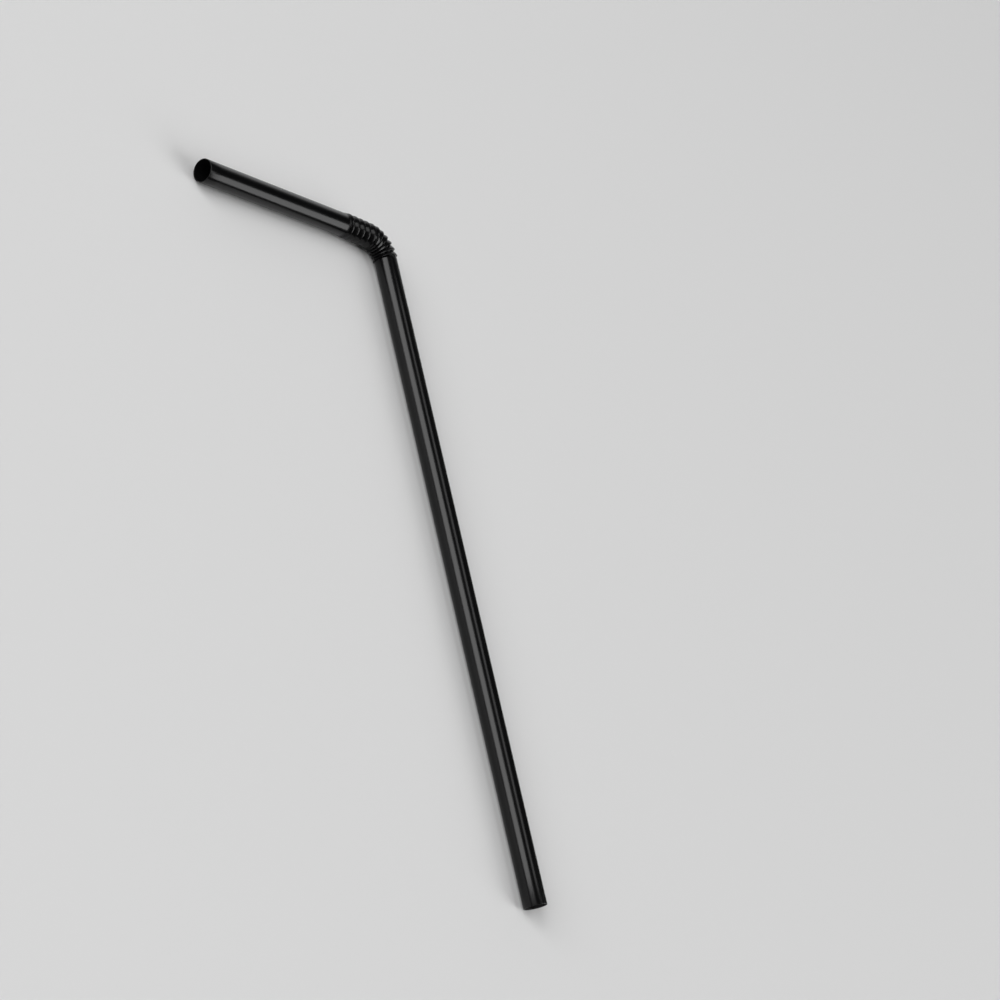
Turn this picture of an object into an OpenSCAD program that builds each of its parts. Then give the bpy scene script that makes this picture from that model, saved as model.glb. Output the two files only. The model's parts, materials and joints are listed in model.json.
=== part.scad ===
// Flexible drinking straw: one thin plastic tube with a rolled bellows between two plain arms.
// It lies on a flat surface, bent at the bellows. The long arm runs along -Y and the short arm
// turns towards -X. Sizes are in millimetres.

/* [Tube] */
// Outer diameter of both arms
tube_d = 5.5; // [4:0.1:8]
// Wall thickness of both arms
tube_wall = 0.18; // [0.14:0.02:0.3]
// Length of the long arm, from its foot to the bellows
long_arm = 156.7; // [80:0.1:220]
// Length of the short arm, from the bellows to the mouth
short_arm = 47.1; // [25:0.1:80]

/* [Bellows] */
// Number of grooves in the bellows
groove_count = 12; // [8:1:14]
// Depth of a groove below the surface of the arms
groove_depth = 0.25; // [0.1:0.05:0.35]
// Height of a ridge above the surface of the arms
ridge_rise = 0.25; // [0.05:0.05:0.35]
// Distance between ridges where they are pressed together, on the inside of the bend
closed_pitch = 0.65; // [0.55:0.05:0.9]
// Pitch of the last groove, next to the short arm, as a share of the pitch of the one before it
last_share = 0.65; // [0.5:0.05:1]
// Length over which the last ridge runs out into the short arm
flare_length = 1.1; // [0.6:0.1:2]

/* [Bend] */
// Angle between the directions of the two arms
bend_angle = 85; // [50:5:95]
// Number of grooves next to the long arm that take most of the bend
bent_grooves = 7; // [4:1:8]
// Pitch and bend of the first of those, which is only partly open, as a share of the others
first_share = 0.5; // [0.4:0.1:1]
// Bend of each of the grooves after them, as a share of the bend of one of those
slack_share = 0.05; // [0.05:0.05:1]

/* [Hidden] */

tube_r = tube_d / 2;
bore_r = tube_r - tube_wall;
ridge_r = tube_r + ridge_rise;
groove_r = tube_r - groove_depth;

// The wall of the bellows measured along the radius: more than the arms' wall, because its flanks slope.
bellows_wall = 1.4 * tube_wall;
// At each end of the bellows a collar grips the end of the arm from both sides.
collar_length = 0.5;
collar_rise = 0.05;
collar_r = tube_r + collar_rise;
// Number of sides of the bellows, a multiple of four so that its lowest points touch the surface.
sides = 40;
// Number of sides for the arms, which are true round tubes.
$fn = 96;

// One groove from ridge to ridge, as shares of its pitch: half a ridge's land, the long flank down,
// the floor, the short flank up, and half of the next ridge's land.
ridge_end = 0.06;
floor_start = 0.68;
floor_end = 0.76;
next_ridge = 0.96;

// How the bend is shared out among the grooves, counted from the long arm.
function share(i) = i == 0 ? first_share : i < bent_grooves ? 1 : slack_share;
share_sum = first_share + bent_grooves - 1 + (groove_count - bent_grooves) * slack_share;
full_bend = bend_angle / share_sum;
function groove_bend(i) = share(i) * full_bend;

// On the outside of the bend all grooves but the first and the last are pulled open to one pitch. On the
// inside the most bent ones close.
function in_radians(degrees) = degrees * PI / 180;
open_pitch = closed_pitch + 2 * ridge_r * in_radians(full_bend);
full_pitch = open_pitch - ridge_r * in_radians(full_bend);
function pulled_pitch(i) = open_pitch - ridge_r * in_radians(groove_bend(i));
function axis_pitch(i) =
    i == 0 ? first_share * full_pitch
    : i == groove_count - 1 ? last_share * pulled_pitch(i)
    : pulled_pitch(i);

// Directions in the plane of the bend for a heading that turns from +Y towards -X.
function along(heading) = [-sin(heading), cos(heading), 0];
function outward(heading) = [cos(heading), sin(heading), 0];

// Heading and place of the axis at the start of each groove. The axis enters the bellows at the origin.
headings = [for (i = 0, h = 0; i <= groove_count; h = h + groove_bend(i), i = i + 1) h];
starts = [
    for (i = 0, p = [0, 0, 0]; i <= groove_count;
         p = p + axis_pitch(i) * along(headings[i] + groove_bend(i) / 2), i = i + 1) p
];
bend_end = starts[groove_count];

// A ring of the bellows: its heading, its place on the axis, its outer radius and its inner radius.
function ring_in_groove(i, part, radius) = [
    headings[i] + part * groove_bend(i),
    starts[i] + part * axis_pitch(i) * along(headings[i] + part * groove_bend(i) / 2),
    radius,
    radius - bellows_wall
];
function collar_ring(heading, place) = [heading, place, collar_r, bore_r - collar_rise];
// The first groove starts level with the long arm, and the last ridge runs out into the short arm.
rings = [
    collar_ring(0, -collar_length * along(0)),
    for (i = [0 : groove_count - 1])
        each [
            ring_in_groove(i, ridge_end, i == 0 ? collar_r : ridge_r),
            ring_in_groove(i, floor_start, groove_r),
            ring_in_groove(i, floor_end, groove_r),
            ring_in_groove(i, next_ridge, ridge_r)
        ],
    collar_ring(bend_angle, bend_end + flare_length * along(bend_angle)),
    collar_ring(bend_angle, bend_end + (flare_length + collar_length) * along(bend_angle))
];
ring_count = len(rings);

function ring_point(ring, radius, j) =
    ring[1] + radius * (cos(j * 360 / sides) * outward(ring[0]) + [0, 0, sin(j * 360 / sides)]);
outer_points = [for (ring = rings) for (j = [0 : sides - 1]) ring_point(ring, ring[2], j)];
inner_points = [for (ring = rings) for (j = [0 : sides - 1]) ring_point(ring, ring[3], j)];

// Number of a point in the list that holds the outer points and then the inner points.
function outer_index(i, j) = i * sides + j % sides;
function inner_index(i, j) = ring_count * sides + i * sides + j % sides;

// Box around the lying straw, from the bellows and the ends of both arms.
mouth_centre = bend_end + short_arm * along(bend_angle);
mouth_edge = tube_r * outward(bend_angle);
box_points = concat(
    outer_points,
    [mouth_centre + mouth_edge, mouth_centre - mouth_edge],
    [[tube_r, -long_arm, 0], [-tube_r, -long_arm, 0]]
);
box_x = [for (p = box_points) p.x];
box_y = [for (p = box_points) p.y];
box_centre = [(min(box_x) + max(box_x)) / 2, (min(box_y) + max(box_y)) / 2];

// A plain round tube that runs along +Y from the origin.
module arm(length) {
    rotate([-90, 0, 0])
        difference() {
            cylinder(r = tube_r, h = length);
            translate([0, 0, -1])
                cylinder(r = bore_r, h = length + 2);
        }
}

// The bent bellows: ridges and grooves with an outer and an inner skin, closed at both collars.
module bellows() {
    outer_skin = [
        for (i = [0 : ring_count - 2]) for (j = [0 : sides - 1])
            each [
                [outer_index(i, j), outer_index(i + 1, j + 1), outer_index(i + 1, j)],
                [outer_index(i, j), outer_index(i, j + 1), outer_index(i + 1, j + 1)]
            ]
    ];
    inner_skin = [
        for (i = [0 : ring_count - 2]) for (j = [0 : sides - 1])
            each [
                [inner_index(i, j), inner_index(i + 1, j), inner_index(i + 1, j + 1)],
                [inner_index(i, j), inner_index(i + 1, j + 1), inner_index(i, j + 1)]
            ]
    ];
    last = ring_count - 1;
    collar_faces = [
        for (j = [0 : sides - 1])
            each [
                [outer_index(0, j + 1), outer_index(0, j), inner_index(0, j), inner_index(0, j + 1)],
                [outer_index(last, j), outer_index(last, j + 1), inner_index(last, j + 1), inner_index(last, j)]
            ]
    ];
    polyhedron(points = concat(outer_points, inner_points), faces = concat(outer_skin, inner_skin, collar_faces));
}

module straw() {
    color([0.06, 0.06, 0.065])
        translate([-box_centre.x, -box_centre.y, ridge_r]) {
            translate([0, -long_arm, 0])
                arm(long_arm);
            bellows();
            translate(bend_end + flare_length * along(bend_angle))
                rotate([0, 0, bend_angle])
                    arm(short_arm - flare_length);
        }
}

straw();
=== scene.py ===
"""Dresses a flexible drinking straw: a thin black tube with a bent bellows, on a pale studio floor."""

import json
import math

import bpy
from mathutils import Matrix, Quaternion, Vector


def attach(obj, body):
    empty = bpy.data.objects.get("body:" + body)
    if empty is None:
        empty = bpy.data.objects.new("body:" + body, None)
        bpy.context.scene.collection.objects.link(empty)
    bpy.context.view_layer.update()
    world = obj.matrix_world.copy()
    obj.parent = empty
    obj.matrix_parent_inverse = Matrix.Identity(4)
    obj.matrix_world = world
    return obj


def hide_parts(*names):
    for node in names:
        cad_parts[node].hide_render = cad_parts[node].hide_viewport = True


bl_info = {
    "name": "Flexible drinking straw",
    "version": (1, 0, 0),
    "blender": (4, 5, 0),
    "location": "3D View > Sidebar > Straw",
    "description": "Makes a bent drinking straw with its bellows, its plastic and a small photo studio",
    "category": "Mesh",
}

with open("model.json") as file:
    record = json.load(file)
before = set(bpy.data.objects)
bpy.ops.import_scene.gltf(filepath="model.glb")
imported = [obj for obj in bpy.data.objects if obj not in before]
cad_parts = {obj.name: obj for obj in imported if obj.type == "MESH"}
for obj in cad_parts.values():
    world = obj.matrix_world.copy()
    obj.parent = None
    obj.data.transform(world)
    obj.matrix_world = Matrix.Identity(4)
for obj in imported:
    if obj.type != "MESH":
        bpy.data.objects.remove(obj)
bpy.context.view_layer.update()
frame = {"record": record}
MOUNTS = {mount["name"]: mount for mount in frame["record"]["mounts"]}
MM = 0.001

# The solid that the straw stands for and the body that it rides on.
STRAW_NODE = "straw"
STRAW_BODY = "root"

# Where the straw lies: the middle of its foot, and its lengths as the mounts give them.
FOOT = Vector(MOUNTS["foot_bore"]["pos_m"])
COLLAR_LENGTH = 0.5 * MM
FLARE_LENGTH = 1.1 * MM
LONG_ARM = MOUNTS["foot_bore"]["dims"]["length_mm"] * MM + COLLAR_LENGTH
SHORT_ARM = MOUNTS["mouth_bore"]["dims"]["length_mm"] * MM + COLLAR_LENGTH + FLARE_LENGTH
TUBE_RADIUS = MOUNTS["long_arm"]["dims"]["r_mm"] * MM
BORE_RADIUS = MOUNTS["foot_bore"]["dims"]["r_mm"] * MM
MOUTH_AXIS = Vector(MOUNTS["mouth_bore"]["axis"])
BEND_ANGLE = math.atan2(-MOUTH_AXIS.x, MOUTH_AXIS.y)

# Fineness of the straw's skin: points round it, rings along each arm and rings in each groove.
SIDES = 96
ARM_RINGS = 12
GROOVE_RINGS = 28

# A groove is deepest at this share of its pitch, so its long flank faces the mouth. The ridges between
# grooves are rounded: their surface falls away from the crest with this power of the distance, and in the
# short last groove with a higher one. The last ridge stands this share as high as the others, and runs out
# into the short arm with a power of the distance as well.
GROOVE_FLOOR = 0.76
RIDGE_ROUNDNESS = 1.45
LAST_ROUNDNESS = 1.9
LAST_RIDGE = 0.5
RUN_OUT_POWER = 4.0

# The wall is this share thicker along the radius where the flanks slope.
SLOPE_WALL = 0.4

# Points this close are one point. The cut ends are rounded by this width, in this many steps.
MERGE_DISTANCE = 0.001 * MM
CUT_ROUNDING = 0.05 * MM
CUT_STEPS = 2

# A limit half a step away from a whole number tells it from the numbers beside it.
HALF_STEP = 0.5

# A mark is 0 or 1 on a point, and a half on an edge between two unlike points. These limits tell them apart.
MARK_OFF = 0.1
MARK_ON = 0.9

# Waves per metre across the straw, upwards and along it. The lines from drawing the tube are about a quarter
# of a millimetre wide and some centimetres long. The detail is the number of finer waves on top, and the
# noise swings about its mean.
DRAW_LINES = (3500.0, 3500.0, 30.0)
CLOUDS = (260.0, 260.0, 90.0)
GRAIN = (9000.0, 9000.0, 9000.0)
LINE_DETAIL = 3.0
CLOUD_DETAIL = 2.0
NOISE_MEAN = 0.5

# How far up a ridge the painted highlight starts: a paler colour that stands in for the light on the crests.
# And how much of that colour the ridges show, and the clouds show as random tone.
SHEEN_START = 0.75
RIDGE_SHEEN = 0.6
CLOUD_PALENESS = 0.4

# How much the clouds and the lines change the roughness, and what the fine relief is made of.
CLOUD_GLOSS = 0.08
LINE_GLOSS = 0.06
LINE_RELIEF = 0.7
GRAIN_RELIEF = 0.3
RELIEF_STRENGTH = 0.12
RELIEF_DEPTH = 0.02 * MM
PLASTIC_IOR = 1.35

# The floor is matt, and in its clouds its tone goes down to this share.
FLOOR_CLOUDS = (1.5, 1.5, 1.5)
FLOOR_TONE = 0.97
FLOOR_ROUGHNESS = 0.7
FLOOR_SPECULAR = 0.2

# The glow fades out as the Z part of a direction rises between the first two values, and comes in as its Y
# part rises between the other two.
GLOW_FADE = (0.1, 0.62)
GLOW_SIDE = (0.3, 0.55)

# The camera's sensor in millimetres, and the nearest and the farthest thing that it sees.
SENSOR_WIDTH = 36.0
NEAR_LIMIT = 0.01
FAR_LIMIT = 100.0


class StrawSizes(bpy.types.PropertyGroup):
    """Sizes of the straw."""

    tube_radius: bpy.props.FloatProperty(
        name="Tube radius", description="Outer radius of both arms",
        default=TUBE_RADIUS, unit="LENGTH", subtype="DISTANCE")
    wall: bpy.props.FloatProperty(
        name="Wall", description="Wall thickness of both arms",
        default=TUBE_RADIUS - BORE_RADIUS, unit="LENGTH", subtype="DISTANCE")
    long_arm: bpy.props.FloatProperty(
        name="Long arm", description="Length from the foot to the bellows",
        default=LONG_ARM, unit="LENGTH", subtype="DISTANCE")
    short_arm: bpy.props.FloatProperty(
        name="Short arm", description="Length from the bellows to the mouth",
        default=SHORT_ARM, unit="LENGTH", subtype="DISTANCE")
    grooves: bpy.props.IntProperty(
        name="Grooves", description="Number of grooves in the bellows", default=12, min=4)
    groove_depth: bpy.props.FloatProperty(
        name="Groove depth", description="Depth of a groove below the surface of the arms",
        default=0.25 * MM, unit="LENGTH", subtype="DISTANCE")
    ridge_rise: bpy.props.FloatProperty(
        name="Ridge rise", description="Height of a ridge above the surface of the arms",
        default=0.25 * MM, unit="LENGTH", subtype="DISTANCE")
    closed_pitch: bpy.props.FloatProperty(
        name="Closed pitch", description="Distance between ridges where they are pressed together",
        default=0.65 * MM, unit="LENGTH", subtype="DISTANCE")
    flare: bpy.props.FloatProperty(
        name="Flare", description="Length over which the last ridge runs out into the short arm",
        default=FLARE_LENGTH, unit="LENGTH", subtype="DISTANCE")
    bend: bpy.props.FloatProperty(
        name="Bend", description="Angle between the directions of the two arms",
        default=BEND_ANGLE, unit="ROTATION", subtype="ANGLE")
    bent_grooves: bpy.props.IntProperty(
        name="Bent grooves", description="Grooves next to the long arm that take most of the bend",
        default=7, min=1)
    first_share: bpy.props.FloatProperty(
        name="First share", description="Pitch and bend of the first of those, as a share of the others",
        default=0.5, subtype="FACTOR", min=0.0, max=1.0)
    slack_share: bpy.props.FloatProperty(
        name="Slack share", description="Bend of each groove after those, as a share of the bend of one",
        default=0.05, subtype="FACTOR", min=0.0, max=1.0)
    last_share: bpy.props.FloatProperty(
        name="Last share", description="Pitch of the last groove, as a share of the one before it",
        default=0.65, subtype="FACTOR", min=0.0, max=1.0)


class StrawFinish(bpy.types.PropertyGroup):
    """Colours and gloss of the straw."""

    plastic: bpy.props.FloatVectorProperty(
        name="Plastic", description="Colour of the plastic", subtype="COLOR", size=3,
        default=(0.0014, 0.0014, 0.0015), min=0.0, max=1.0)
    # Painted highlight: a paler colour for the ridge tops, standing in for the light on the crests. The
    # clouds also mix towards it as random tone.
    ridge_sheen_and_cloud_tone: bpy.props.FloatVectorProperty(
        name="Ridge", description="Colour of the stretched plastic on the ridges", subtype="COLOR", size=3,
        default=(0.005, 0.005, 0.0053), min=0.0, max=1.0)
    roughness: bpy.props.FloatProperty(
        name="Roughness", description="Roughness of the outside", default=0.22, subtype="FACTOR",
        min=0.0, max=1.0)
    inner_roughness: bpy.props.FloatProperty(
        name="Inner roughness", description="Roughness of the bore", default=0.42, subtype="FACTOR",
        min=0.0, max=1.0)


class StudioSettings(bpy.types.PropertyGroup):
    """Floor, light and camera."""

    floor: bpy.props.FloatVectorProperty(
        name="Floor", description="Colour of the floor", subtype="COLOR", size=3,
        default=(0.7, 0.7, 0.7), min=0.0, max=1.0)
    floor_size: bpy.props.FloatProperty(
        name="Floor size", description="Length of the floor's side",
        default=12.0, unit="LENGTH", subtype="DISTANCE")
    glow: bpy.props.FloatProperty(
        name="Glow", description="Brightness of the low glow on the far side", default=1.1, min=0.0)
    room: bpy.props.FloatProperty(
        name="Room", description="Brightness of the rest of the surroundings", default=0.03, min=0.0)
    camera_place: bpy.props.FloatVectorProperty(
        name="Camera", description="Place of the camera", subtype="XYZ", size=3, unit="LENGTH",
        default=(-0.50232, -0.18297, 0.37342))
    camera_aim: bpy.props.FloatVectorProperty(
        name="Aim", description="Point on the floor that the camera looks at",
        subtype="XYZ", size=3, unit="LENGTH", default=(0.05744, 0.01529, 0.0))
    camera_roll: bpy.props.FloatProperty(
        name="Roll", description="Turn of the camera about its line of sight",
        default=math.radians(65.94), unit="ROTATION", subtype="ANGLE")
    lens: bpy.props.FloatProperty(
        name="Lens", description="Focal length in millimetres", default=105.7, min=1.0)


# Sums inside node trees

class Field:
    """A value that a node tree works out, and that takes part in sums like a number."""

    def __init__(self, socket):
        self.socket = socket
        self.tree = socket.id_data

    def __add__(self, other):
        return math_node(self.tree, "ADD", self, other)

    def __radd__(self, other):
        return math_node(self.tree, "ADD", other, self)

    def __sub__(self, other):
        return math_node(self.tree, "SUBTRACT", self, other)

    def __rsub__(self, other):
        return math_node(self.tree, "SUBTRACT", other, self)

    def __mul__(self, other):
        return math_node(self.tree, "MULTIPLY", self, other)

    def __rmul__(self, other):
        return math_node(self.tree, "MULTIPLY", other, self)

    def __truediv__(self, other):
        return math_node(self.tree, "DIVIDE", self, other)

    def __mod__(self, other):
        return math_node(self.tree, "FLOORED_MODULO", self, other)

    def __lt__(self, other):
        return math_node(self.tree, "LESS_THAN", self, other)

    def __gt__(self, other):
        return math_node(self.tree, "GREATER_THAN", self, other)


def feed(socket, value):
    """Links a field to a socket, or sets the socket to a plain value."""
    if isinstance(value, Field):
        socket.id_data.links.new(value.socket, socket)
    else:
        socket.default_value = value


def add_node(tree, kind, settings=None, **values):
    """Adds a node, sets its own settings, and feeds its sockets, which are named with _ for a space."""
    node = tree.nodes.new(kind)
    for setting, value in (settings or {}).items():
        setattr(node, setting, value)
    for name, value in values.items():
        feed(node.inputs[name.replace("_", " ")], value)
    return node


def math_node(tree, operation, *values):
    """One step of arithmetic."""
    node = add_node(tree, "ShaderNodeMath", {"operation": operation})
    for socket, value in zip(node.inputs, values):
        feed(socket, value)
    return Field(node.outputs["Value"])


def whole_part(field):
    """The field rounded down."""
    return math_node(field.tree, "FLOOR", field)


def smaller(first, second):
    """The smaller of two fields."""
    return math_node(first.tree, "MINIMUM", first, second)


def rise(field, start, end, shape="SMOOTHSTEP"):
    """0 before start, 1 after end, and between them a rise, which is smooth unless its shape is LINEAR."""
    node = add_node(field.tree, "ShaderNodeMapRange", {"interpolation_type": shape}, Value=field)
    feed(node.inputs["From Min"], start)
    feed(node.inputs["From Max"], end)
    return Field(node.outputs["Result"])


def vector(tree, x, y, z):
    """A vector from three values."""
    return Field(add_node(tree, "ShaderNodeCombineXYZ", X=x, Y=y, Z=z).outputs["Vector"])


def vector_sum(first, second):
    """The sum of two vectors."""
    node = add_node(first.tree, "ShaderNodeVectorMath", {"operation": "ADD"})
    feed(node.inputs[0], first)
    feed(node.inputs[1], second)
    return Field(node.outputs["Vector"])


def running_total(field, data_type="FLOAT"):
    """The sum of a field over all points up to each point."""
    node = add_node(field.tree, "GeometryNodeAccumulateField", {"data_type": data_type}, Value=field)
    return Field(node.outputs["Leading"])


def with_mark(geometry, name, data_type, domain, value):
    """The geometry with a named value stored on each of its points or edges."""
    kind = "GeometryNodeStoreNamedAttribute"
    settings = {"data_type": data_type, "domain": domain}
    store = add_node(geometry.tree, kind, settings, Geometry=geometry, Name=name)
    feed(store.inputs["Value"], value)
    return Field(store.outputs["Geometry"])


def mark(tree, name):
    """A number that was stored on the geometry."""
    return Field(add_node(tree, "GeometryNodeInputNamedAttribute", Name=name).outputs["Attribute"])


def group_inputs(tree):
    """The inputs of a node tree as fields, by name."""
    group_input = tree.nodes.new("NodeGroupInput")
    return {socket.name: Field(socket) for socket in group_input.outputs if socket.name}


def arrange(tree, columns=12, step_x=190, step_y=170):
    """Lays the nodes of a tree out in rows, in the order in which they were made."""
    for number, node in enumerate(tree.nodes):
        node.location = (number % columns * step_x, -(number // columns) * step_y)


# The straw's shape

def add_inputs(tree, sizes, material):
    """Gives the tree an input for each size, and returns the inputs' values by their identifiers."""
    numbers = {
        "Tube Radius": sizes.tube_radius,
        "Wall": sizes.wall,
        "Long Arm": sizes.long_arm,
        "Short Arm": sizes.short_arm,
        "Grooves": sizes.grooves,
        "Groove Depth": sizes.groove_depth,
        "Ridge Rise": sizes.ridge_rise,
        "Closed Pitch": sizes.closed_pitch,
        "Flare": sizes.flare,
        "Bend": sizes.bend,
        "Bent Grooves": sizes.bent_grooves,
        "First Share": sizes.first_share,
        "Slack Share": sizes.slack_share,
        "Last Share": sizes.last_share,
    }
    values = {}
    tree.interface.new_socket("Geometry", in_out="INPUT", socket_type="NodeSocketGeometry")
    for name, value in numbers.items():
        kind = "NodeSocketInt" if isinstance(value, int) else "NodeSocketFloat"
        socket = tree.interface.new_socket(name, in_out="INPUT", socket_type=kind)
        values[socket.identifier] = value
    foot = tree.interface.new_socket("Foot", in_out="INPUT", socket_type="NodeSocketVector")
    values[foot.identifier] = FOOT
    plastic = tree.interface.new_socket("Plastic", in_out="INPUT", socket_type="NodeSocketMaterial")
    values[plastic.identifier] = material
    tree.interface.new_socket("Geometry", in_out="OUTPUT", socket_type="NodeSocketGeometry")
    return values


def straw_axis(tree, size):
    """Points along the straw's axis from foot to mouth, each with its heading, radii and length so far.

    The axis has the long arm, the grooves, the flare and the short arm. Its heading turns from +Y to -X.
    """
    number = Field(add_node(tree, "GeometryNodeInputIndex").outputs["Index"])
    last = (size["Grooves"] + 1) * GROOVE_RINGS + 2 * ARM_RINGS
    line = add_node(tree, "GeometryNodeMeshLine", Count=last + 1)

    # On the outside of the bend all grooves but the first and the last are pulled open to one pitch. On the
    # inside the most bent ones are closed.
    ridge_radius = size["Tube Radius"] + size["Ridge Rise"]
    slack_grooves = size["Grooves"] - size["Bent Grooves"]
    shares = size["First Share"] + size["Bent Grooves"] - 1 + slack_grooves * size["Slack Share"]
    full_bend = size["Bend"] / shares
    open_pitch = size["Closed Pitch"] + 2 * ridge_radius * full_bend

    # The step that leads to each point: the groove that it is in, its bend and its length.
    groove = whole_part((number - (ARM_RINGS + HALF_STEP)) / GROOVE_RINGS)
    on_long_arm = number < ARM_RINGS + HALF_STEP
    on_short_arm = number > last - (ARM_RINGS - HALF_STEP)
    in_bellows = (groove > -HALF_STEP) * (groove < size["Grooves"] - HALF_STEP)
    in_flare = 1 - on_long_arm - on_short_arm - in_bellows
    is_first = groove < HALF_STEP
    is_last = groove > size["Grooves"] - (1 + HALF_STEP)
    is_bent = groove < size["Bent Grooves"] - HALF_STEP
    share = is_first * size["First Share"] + (is_bent - is_first) + (1 - is_bent) * size["Slack Share"]
    groove_bend = full_bend * share
    first_pitch = size["First Share"] * (open_pitch - ridge_radius * full_bend)
    pulled_pitch = open_pitch - ridge_radius * groove_bend
    later_pitch = pulled_pitch * (1 - is_last * (1 - size["Last Share"]))
    pitch = is_first * first_pitch + (1 - is_first) * later_pitch
    step = (
        on_long_arm * (size["Long Arm"] / ARM_RINGS)
        + on_short_arm * ((size["Short Arm"] - size["Flare"]) / ARM_RINGS)
        + in_flare * (size["Flare"] / GROOVE_RINGS)
        + in_bellows * (pitch / GROOVE_RINGS)
    )
    step = step * (number > HALF_STEP)
    turn = in_bellows * groove_bend / GROOVE_RINGS
    heading = running_total(turn)
    step_heading = heading - turn / 2
    sideways = step * math_node(tree, "SINE", step_heading)
    forwards = step * math_node(tree, "COSINE", step_heading)
    place = running_total(vector(tree, 0 - sideways, forwards, 0.0), "FLOAT_VECTOR")

    # The outside dips into the grooves between raised ridges. The first groove starts level with the arm.
    along_bellows = (number - ARM_RINGS) / GROOVE_RINGS
    part = along_bellows % 1.0
    run_out = rise(along_bellows - size["Grooves"], 0.0, 1.0, "LINEAR")
    at_last_ridge = along_bellows > size["Grooves"] - 1 + GROOVE_FLOOR
    height = 1 - (1 - LAST_RIDGE) * at_last_ridge
    remaining = math_node(tree, "POWER", 1 - run_out, RUN_OUT_POWER)
    raised = (along_bellows > GROOVE_FLOOR) * height * remaining
    between_ridges = (along_bellows > 0.0) * (along_bellows < size["Grooves"])
    from_crest = smaller(part / GROOVE_FLOOR, (1 - part) / (1 - GROOVE_FLOOR))
    in_last = along_bellows > size["Grooves"] - 1
    roundness = RIDGE_ROUNDNESS + (LAST_ROUNDNESS - RIDGE_ROUNDNESS) * in_last
    dip = math_node(tree, "POWER", from_crest, roundness) * between_ridges
    outside = (
        size["Tube Radius"]
        + size["Ridge Rise"] * raised
        - (size["Ridge Rise"] * raised + size["Groove Depth"]) * dip
    )
    # The inside follows the outside, with a wall that is thicker along the radius where the flanks slope.
    sloping = rise(along_bellows, 0.0, GROOVE_FLOOR) * (1 - run_out)
    slope_wall = size["Wall"] * (1 + SLOPE_WALL * sloping)
    return {
        "points": Field(line.outputs["Mesh"]),
        "last": last,
        "place": vector_sum(place, size["Foot"]),
        "heading": heading,
        "outside": outside,
        "inside": outside - slope_wall,
        "length": running_total(step),
        "ridge": raised * (1 - dip),
    }


def straw_skin(tree, axis):
    """One closed skin: rings from the foot to the mouth on the outside, and back again inside the bore."""
    loop = 2 * (axis["last"] + 1)
    grid = add_node(tree, "GeometryNodeMeshGrid", Vertices_X=loop + 1, Vertices_Y=SIDES + 1)
    number = Field(add_node(tree, "GeometryNodeInputIndex").outputs["Index"])
    ring = whole_part(number / (SIDES + 1)) % loop
    angle = number % (SIDES + 1) * (2 * math.pi / SIDES)
    station = smaller(ring, loop - 1 - ring)
    in_bore = ring > axis["last"] + HALF_STEP

    def at_station(name, data_type="FLOAT"):
        """A value of the axis point that each point of the skin lies round."""
        node = add_node(tree, "GeometryNodeSampleIndex", {"data_type": data_type}, Index=station)
        feed(node.inputs["Geometry"], axis["points"])
        feed(node.inputs["Value"], axis[name])
        return Field(node.outputs["Value"])

    radius = at_station("outside") * (1 - in_bore) + at_station("inside") * in_bore
    across = radius * math_node(tree, "COSINE", angle)
    upwards = radius * math_node(tree, "SINE", angle)
    heading = at_station("heading")
    from_axis = vector(
        tree,
        across * math_node(tree, "COSINE", heading),
        across * math_node(tree, "SINE", heading),
        upwards,
    )
    bent = vector_sum(at_station("place", "FLOAT_VECTOR"), from_axis)
    straight = vector(tree, across, upwards, at_station("length"))

    # The plastic reads the place on the straightened straw, the ridges, which carry its painted highlight,
    # and the bore. The bevel's weights come from the bore and the cut ends.
    skin = Field(grid.outputs["Mesh"])
    marks = (
        ("straight_place", "FLOAT_VECTOR", straight),
        ("ridge", "FLOAT", at_station("ridge") * (1 - in_bore)),
        ("bore", "FLOAT", in_bore),
        ("cut_end", "FLOAT", (station < HALF_STEP) + (station > axis["last"] - HALF_STEP)),
    )
    for name, data_type, value in marks:
        skin = with_mark(skin, name, data_type, "POINT", value)
    moved = add_node(tree, "GeometryNodeSetPosition", Geometry=skin, Position=bent)
    return Field(moved.outputs["Geometry"])


def weigh_cut_ends(skin):
    """Gives the two round edges of each cut end the weight that the bevel reads."""
    at_end = mark(skin.tree, "cut_end")
    in_bore = mark(skin.tree, "bore")
    across_the_wall = (in_bore > MARK_OFF) * (in_bore < MARK_ON)
    weight = (at_end > MARK_ON) * (1 - across_the_wall)
    return with_mark(skin, "bevel_weight_edge", "FLOAT", "EDGE", weight)


def straw_tree(sizes, material):
    """The node tree of the whole straw, with the values of its inputs by identifier."""
    tree = bpy.data.node_groups.new("straw_shape", "GeometryNodeTree")
    tree.is_modifier = True
    values = add_inputs(tree, sizes, material)
    size = group_inputs(tree)
    skin = straw_skin(tree, straw_axis(tree, size))
    closed = add_node(tree, "GeometryNodeMergeByDistance", Geometry=skin, Distance=MERGE_DISTANCE)
    weighed = weigh_cut_ends(Field(closed.outputs["Geometry"]))
    smooth = add_node(tree, "GeometryNodeSetShadeSmooth", Geometry=weighed)
    real = add_node(tree, "GeometryNodeRealizeInstances", Geometry=Field(smooth.outputs["Geometry"]))
    painted = add_node(tree, "GeometryNodeSetMaterial", Geometry=Field(real.outputs["Geometry"]))
    feed(painted.inputs["Material"], size["Plastic"])
    group_output = tree.nodes.new("NodeGroupOutput")
    feed(group_output.inputs["Geometry"], Field(painted.outputs["Geometry"]))
    arrange(tree)
    return tree, values


def round_cut_ends(straw):
    """Takes the sharp edge off both cut ends of the tube."""
    bevel = straw.modifiers.new("cut_ends", "BEVEL")
    bevel.limit_method = "WEIGHT"
    bevel.width = CUT_ROUNDING
    bevel.segments = CUT_STEPS


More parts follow.
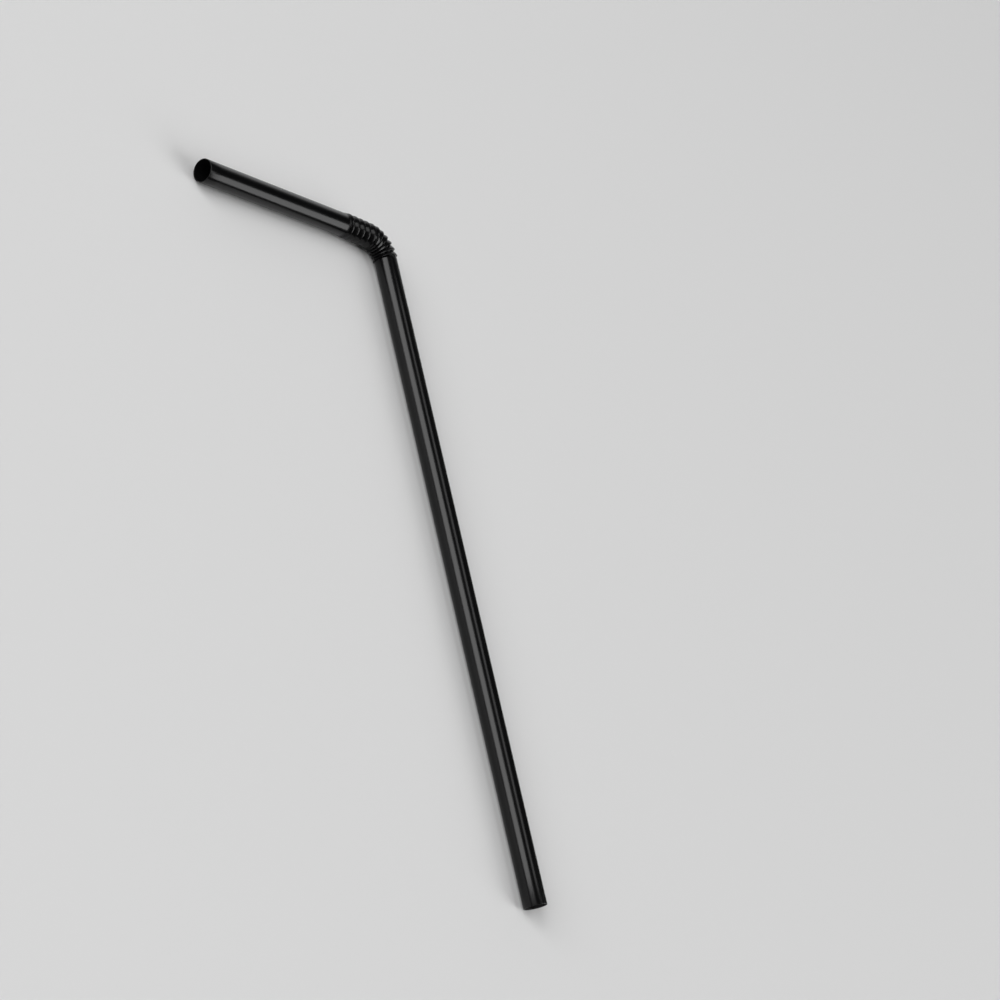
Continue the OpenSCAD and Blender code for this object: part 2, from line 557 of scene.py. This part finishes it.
def as_plain_mesh(obj):
    """Replaces an object's mesh by what its modifiers make of it, and removes them."""
    evaluated = obj.evaluated_get(bpy.context.evaluated_depsgraph_get())
    made = bpy.data.meshes.new_from_object(evaluated)
    made.name = obj.name
    obj.modifiers.clear()
    obj.data = made
    if not made.polygons:
        raise RuntimeError(f"{obj.name} came out empty")


# The noise that the plastic and the floor share

def noise_group():
    """The node group of noise with its own number of waves in each direction, made when first asked for."""
    name = "stretched_noise"
    if name in bpy.data.node_groups:
        return bpy.data.node_groups[name]
    group = bpy.data.node_groups.new(name, "ShaderNodeTree")
    group.interface.new_socket("Place", in_out="INPUT", socket_type="NodeSocketVector")
    group.interface.new_socket("Waves", in_out="INPUT", socket_type="NodeSocketVector")
    group.interface.new_socket("Detail", in_out="INPUT", socket_type="NodeSocketFloat")
    group.interface.new_socket("Noise", in_out="OUTPUT", socket_type="NodeSocketFloat")
    given = group_inputs(group)
    crest_sheen = add_node(group, "ShaderNodeMapping", Vector=given["Place"], Scale=given["Waves"])
    spread = Field(crest_sheen.outputs["Vector"])
    cloud = add_node(group, "ShaderNodeTexNoise", Vector=spread, Scale=1.0, Detail=given["Detail"])
    group_output = group.nodes.new("NodeGroupOutput")
    feed(group_output.inputs["Noise"], Field(cloud.outputs["Fac"]))
    arrange(group)
    return group


def noise(tree, place, waves, detail):
    """Noise over the given places, with its own number of waves in each direction."""
    settings = {"node_tree": noise_group()}
    group = add_node(tree, "ShaderNodeGroup", settings, Place=place, Waves=waves, Detail=detail)
    return Field(group.outputs["Noise"])


# The plastic

def attribute(tree, name, output):
    """A value that the straw's mesh carries."""
    return Field(add_node(tree, "ShaderNodeAttribute", {"attribute_name": name}).outputs[output])


def plastic_material(finish):
    """Satin black plastic with faint lines from drawing the tube, cloudy gloss, and a painted highlight of
    paler colour on the ridge tops.
    """
    material = bpy.data.materials.new("black_plastic")
    material.use_nodes = True
    tree = material.node_tree
    shader = tree.nodes["Principled BSDF"]
    place = attribute(tree, "straight_place", "Vector")
    ridge = attribute(tree, "ridge", "Fac")
    bore = attribute(tree, "bore", "Fac")

    draw_lines = noise(tree, place, DRAW_LINES, LINE_DETAIL)
    clouds = noise(tree, place, CLOUDS, CLOUD_DETAIL)
    grain = noise(tree, place, GRAIN, CLOUD_DETAIL)

    # Painted highlight: the ridge tops are mixed towards the paler colour where the crests catch the light,
    # and the clouds mix towards it at random.
    crest_sheen = rise(ridge, SHEEN_START, 1.0)
    colour = add_node(tree, "ShaderNodeMix", {"data_type": "RGBA"})
    feed(colour.inputs["Factor"], crest_sheen * RIDGE_SHEEN + clouds * CLOUD_PALENESS)
    feed(colour.inputs["A"], (*finish.plastic, 1.0))
    feed(colour.inputs["B"], (*finish.ridge_sheen_and_cloud_tone, 1.0))
    feed(shader.inputs["Base Color"], Field(colour.outputs["Result"]))

    unevenness = (clouds - NOISE_MEAN) * CLOUD_GLOSS + (draw_lines - NOISE_MEAN) * LINE_GLOSS
    outer_roughness = finish.roughness + unevenness
    feed(shader.inputs["Roughness"], outer_roughness * (1 - bore) + bore * finish.inner_roughness)

    relief = draw_lines * LINE_RELIEF + grain * GRAIN_RELIEF
    bump = add_node(tree, "ShaderNodeBump", Strength=RELIEF_STRENGTH, Distance=RELIEF_DEPTH, Height=relief)
    feed(shader.inputs["Normal"], Field(bump.outputs["Normal"]))
    shader.inputs["IOR"].default_value = PLASTIC_IOR
    arrange(tree, columns=6)
    return material


class STRAW_OT_build_straw(bpy.types.Operator):
    """Make the straw with its bellows and its plastic"""

    bl_idname = "straw.build_straw"
    bl_label = "Build straw"

    def execute(self, context):
        material = plastic_material(context.scene.straw_finish)
        tree, values = straw_tree(context.scene.straw_sizes, material)
        straw = bpy.data.objects.new("drinking_straw", bpy.data.meshes.new("drinking_straw"))
        shape = straw.modifiers.new("straw_shape", "NODES")
        shape.node_group = tree
        for identifier, value in values.items():
            shape[identifier] = value
        round_cut_ends(straw)
        context.scene.collection.objects.link(straw)
        as_plain_mesh(straw)
        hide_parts(STRAW_NODE)
        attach(straw, STRAW_BODY)
        return {"FINISHED"}


# The studio

def floor_material(colour):
    """Smooth matt board, a little uneven in tone."""
    material = bpy.data.materials.new("pale_board")
    material.use_nodes = True
    tree = material.node_tree
    shader = tree.nodes["Principled BSDF"]
    place = Field(add_node(tree, "ShaderNodeTexCoord").outputs["Object"])
    clouds = noise(tree, place, FLOOR_CLOUDS, CLOUD_DETAIL)
    mix = add_node(tree, "ShaderNodeMix", {"data_type": "RGBA"})
    feed(mix.inputs["Factor"], clouds)
    feed(mix.inputs["A"], (*colour, 1.0))
    feed(mix.inputs["B"], (*[FLOOR_TONE * part for part in colour], 1.0))
    feed(shader.inputs["Base Color"], Field(mix.outputs["Result"]))
    shader.inputs["Roughness"].default_value = FLOOR_ROUGHNESS
    shader.inputs["Specular IOR Level"].default_value = FLOOR_SPECULAR
    arrange(tree, columns=6)
    return material


def make_floor(studio):
    """A flat square floor under the straw."""
    half = studio.floor_size / 2
    corners = [(-half, -half, 0.0), (half, -half, 0.0), (half, half, 0.0), (-half, half, 0.0)]
    mesh = bpy.data.meshes.new("floor")
    mesh.from_pydata(corners, [], [(0, 1, 2, 3)])
    mesh.materials.append(floor_material(studio.floor))
    floor = bpy.data.objects.new("floor", mesh)
    bpy.context.scene.collection.objects.link(floor)


def make_surroundings(studio):
    """A dark room with a pale low glow on the side that the short arm's far edge mirrors."""
    world = bpy.data.worlds.new("studio_room")
    world.use_nodes = True
    tree = world.node_tree
    background = tree.nodes["Background"]
    direction = Field(add_node(tree, "ShaderNodeTexCoord").outputs["Generated"])
    split = add_node(tree, "ShaderNodeSeparateXYZ", Vector=direction)
    low = 1 - rise(Field(split.outputs["Z"]), *GLOW_FADE)
    far_side = rise(Field(split.outputs["Y"]), *GLOW_SIDE)
    feed(background.inputs["Strength"], studio.room + (studio.glow - studio.room) * low * far_side)
    background.inputs["Color"].default_value = (1.0, 1.0, 1.0, 1.0)
    bpy.context.scene.world = world


def turn_from_axes(x_axis, y_axis, z_axis):
    """The rotation that takes X, Y and Z to the given axes."""
    return Matrix((x_axis, y_axis, z_axis)).transposed().to_quaternion()


def softbox(name, long_side, place, width, length, brightness):
    """A flat light that faces the straw, with its length along long_side as far as that allows."""
    light = bpy.data.lights.new(name, "AREA")
    light.shape = "RECTANGLE"
    light.size = width
    light.size_y = length
    light.energy = brightness * math.pi * width * length
    lamp = bpy.data.objects.new(name, light)
    back = Vector(place).normalized()
    across = long_side.cross(back).normalized()
    along = back.cross(across)
    lamp.rotation_mode = "QUATERNION"
    lamp.rotation_quaternion = turn_from_axes(across, along, back)
    lamp.location = place
    lamp.visible_camera = False
    bpy.context.scene.collection.objects.link(lamp)


def make_lights():
    """Softboxes, each set where an arm mirrors it to the camera as a strip, or the ridges do as patches."""
    along_long_arm = Vector((0.0, 1.0, 0.0))
    along_short_arm = Vector((1.0, 0.0, 0.0))
    softbox("key_beside_camera", along_long_arm,
            place=(-2.428, 0.786, 1.576), width=2.3, length=2.8, brightness=5.0)
    softbox("overhead_strip", along_long_arm,
            place=(0.30, 0.42, 2.89), width=0.9, length=1.65, brightness=2.3)
    softbox("low_front_strip", along_short_arm,
            place=(1.80, -1.49, 1.32), width=1.8, length=2.0, brightness=3.6)
    softbox("high_front_panel", along_short_arm,
            place=(0.95, -0.97, 2.54), width=0.8, length=0.7, brightness=2.1)


def make_camera(studio):
    """The camera at the photograph's viewing angle."""
    data = bpy.data.cameras.new("camera")
    data.sensor_width = SENSOR_WIDTH
    data.lens = studio.lens
    data.clip_start = NEAR_LIMIT
    data.clip_end = FAR_LIMIT
    camera = bpy.data.objects.new("camera", data)
    place = Vector(studio.camera_place)
    sight = Vector(studio.camera_aim) - place
    camera.rotation_mode = "QUATERNION"
    roll = Quaternion((0.0, 0.0, 1.0), studio.camera_roll)
    camera.rotation_quaternion = sight.to_track_quat("-Z", "Y") @ roll
    camera.location = place
    bpy.context.scene.collection.objects.link(camera)
    bpy.context.scene.camera = camera


class STRAW_OT_build_stage(bpy.types.Operator):
    """Make the floor, the lights and the camera"""

    bl_idname = "straw.build_stage"
    bl_label = "Build stage"

    def execute(self, context):
        studio = context.scene.straw_studio
        make_floor(studio)
        make_surroundings(studio)
        make_lights()
        make_camera(studio)
        context.scene.view_settings.view_transform = "Standard"
        return {"FINISHED"}


class STRAW_PT_sidebar(bpy.types.Panel):
    """Sizes, finish and studio of the straw"""

    bl_label = "Drinking straw"
    bl_space_type = "VIEW_3D"
    bl_region_type = "UI"
    bl_category = "Straw"

    def draw(self, context):
        for group in (context.scene.straw_sizes, context.scene.straw_finish, context.scene.straw_studio):
            box = self.layout.box()
            for name in group.__annotations__:
                box.prop(group, name)
        self.layout.operator(STRAW_OT_build_straw.bl_idname)
        self.layout.operator(STRAW_OT_build_stage.bl_idname)


CLASSES = (
    StrawSizes,
    StrawFinish,
    StudioSettings,
    STRAW_OT_build_straw,
    STRAW_OT_build_stage,
    STRAW_PT_sidebar,
)


def register():
    """Adds the classes, and their settings to the scene."""
    for kind in CLASSES:
        bpy.utils.register_class(kind)
    bpy.types.Scene.straw_sizes = bpy.props.PointerProperty(type=StrawSizes)
    bpy.types.Scene.straw_finish = bpy.props.PointerProperty(type=StrawFinish)
    bpy.types.Scene.straw_studio = bpy.props.PointerProperty(type=StudioSettings)


def unregister():
    """Takes the settings and the classes away again."""
    del bpy.types.Scene.straw_studio
    del bpy.types.Scene.straw_finish
    del bpy.types.Scene.straw_sizes
    for kind in reversed(CLASSES):
        bpy.utils.unregister_class(kind)


def main():
    """Builds the straw and its stage."""
    register()
    bpy.ops.straw.build_straw()
    bpy.ops.straw.build_stage()


if __name__ == "__main__":
    main()
